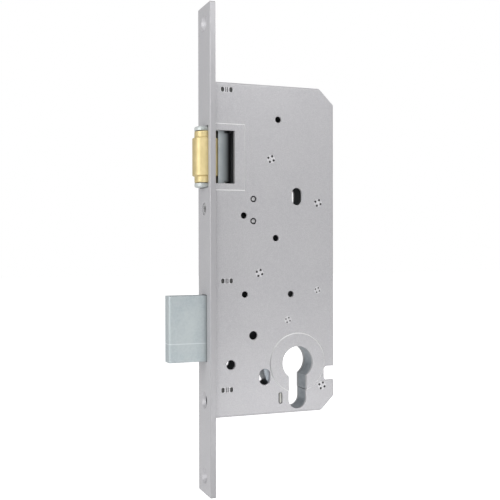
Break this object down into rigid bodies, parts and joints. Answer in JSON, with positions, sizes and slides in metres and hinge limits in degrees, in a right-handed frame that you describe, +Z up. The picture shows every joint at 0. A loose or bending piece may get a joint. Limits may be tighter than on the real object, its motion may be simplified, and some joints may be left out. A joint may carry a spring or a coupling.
{
  "type": "mortise lock",
  "caption": "Mortise lock case with a slim forend, adjustable sprung roller latch, flat sliding deadbolt and Euro-profile cylinder hole.",
  "frame": {"origin": "on the forend's front face, midway between its two end screw holes", "axes": "+X from the forend into the door, +Y from the pan side to the cover side, +Z up"},
  "size_m": [0.0915, 0.02, 0.253],
  "materials": {
    "case_steel": "satin silver-grey coat on sheet steel",
    "plated_bolt": "blue-white zinc plating on steel",
    "zinc_casting": "as-cast zinc alloy, light grey",
    "roller_brass": "turned and polished brass",
    "zinc_steel": "bright zinc plated steel",
    "spring_steel": "drawn spring wire",
    "staked_steel": "silver-grey steel of the brackets and posts, dark in their punch marks",
    "dark_steel": "blackened steel of the plates inside the case"
  },
  "bodies": {
    "case": {"forend_plate": "case_steel", "case_pan": "case_steel", "case_cover": "case_steel", "forend_brackets": "staked_steel", "spacer_posts": "staked_steel", "tumbler_post": "staked_steel", "bolt_guide_post": "staked_steel", "cover_screws": "zinc_steel", "yoke_guide_pins": "zinc_steel", "cylinder_saddle": "zinc_casting", "tumbler_spring": "spring_steel", "screw_keeper": "dark_steel"},
    "deadbolt": {"bolt_head": "plated_bolt", "bolt_tail": "plated_bolt", "bolt_rivets": "zinc_steel"},
    "driver": {"driver": "zinc_casting"},
    "tumbler": {"tumbler": "dark_steel", "tumbler_stump": "zinc_steel"},
    "adjusting_screw": {"adjusting_screw": "zinc_steel"},
    "adjuster": {"adjuster_yoke": "dark_steel", "adjuster_nut": "dark_steel", "latch_springs": "spring_steel"},
    "latch": {"latch_fork": "zinc_casting", "roller_pin": "zinc_steel", "guide_rods": "zinc_steel", "rod_clips": "spring_steel"},
    "roller": {"latch_roller": "roller_brass"}
  },
  "joints": [
    {"name": "bolt_slide", "type": "slide", "parent": "case", "child": "deadbolt", "axis": [1, 0, 0], "range_m": [0, 0.02]},
    {"name": "driver_turn", "type": "hinge", "parent": "case", "child": "driver", "pos_m": [0.05, 0, -0.06], "axis": [0, 1, 0], "range_deg": [0, 88]},
    {"name": "tumbler_pivot", "type": "hinge", "parent": "case", "child": "tumbler", "pos_m": [0.06185, -0.0016, -0.0217], "axis": [0, 1, 0], "range_deg": [-10.6, 0], "deforming": ["tumbler_spring"]},
    {"name": "adjusting_screw_turn", "type": "hinge", "parent": "case", "child": "adjusting_screw", "pos_m": [0, 0, 0.0212], "axis": [1, 0, 0], "range_deg": [0, 1350]},
    {"name": "adjuster_slide", "type": "slide", "parent": "case", "child": "adjuster", "axis": [-1, 0, 0], "range_m": [0, 0.003]},
    {"name": "latch_retract", "type": "slide", "parent": "adjuster", "child": "latch", "axis": [1, 0, 0], "range_m": [0, 0.0065], "stiffness_N_per_m": 900, "springref_m": -0.004, "deforming": ["latch_springs"]},
    {"name": "roller_spin", "type": "hinge", "parent": "latch", "child": "roller", "pos_m": [0.00065, 0, 0.04795], "axis": [0, 0, 1], "continuous": true}
  ],
  "couplings": [
    {"joint": "driver_turn", "follows": "bolt_slide", "rad_per_m": 76.794},
    {"joint": "adjusting_screw_turn", "follows": "adjuster_slide", "rad_per_m": 7854}
  ]
}
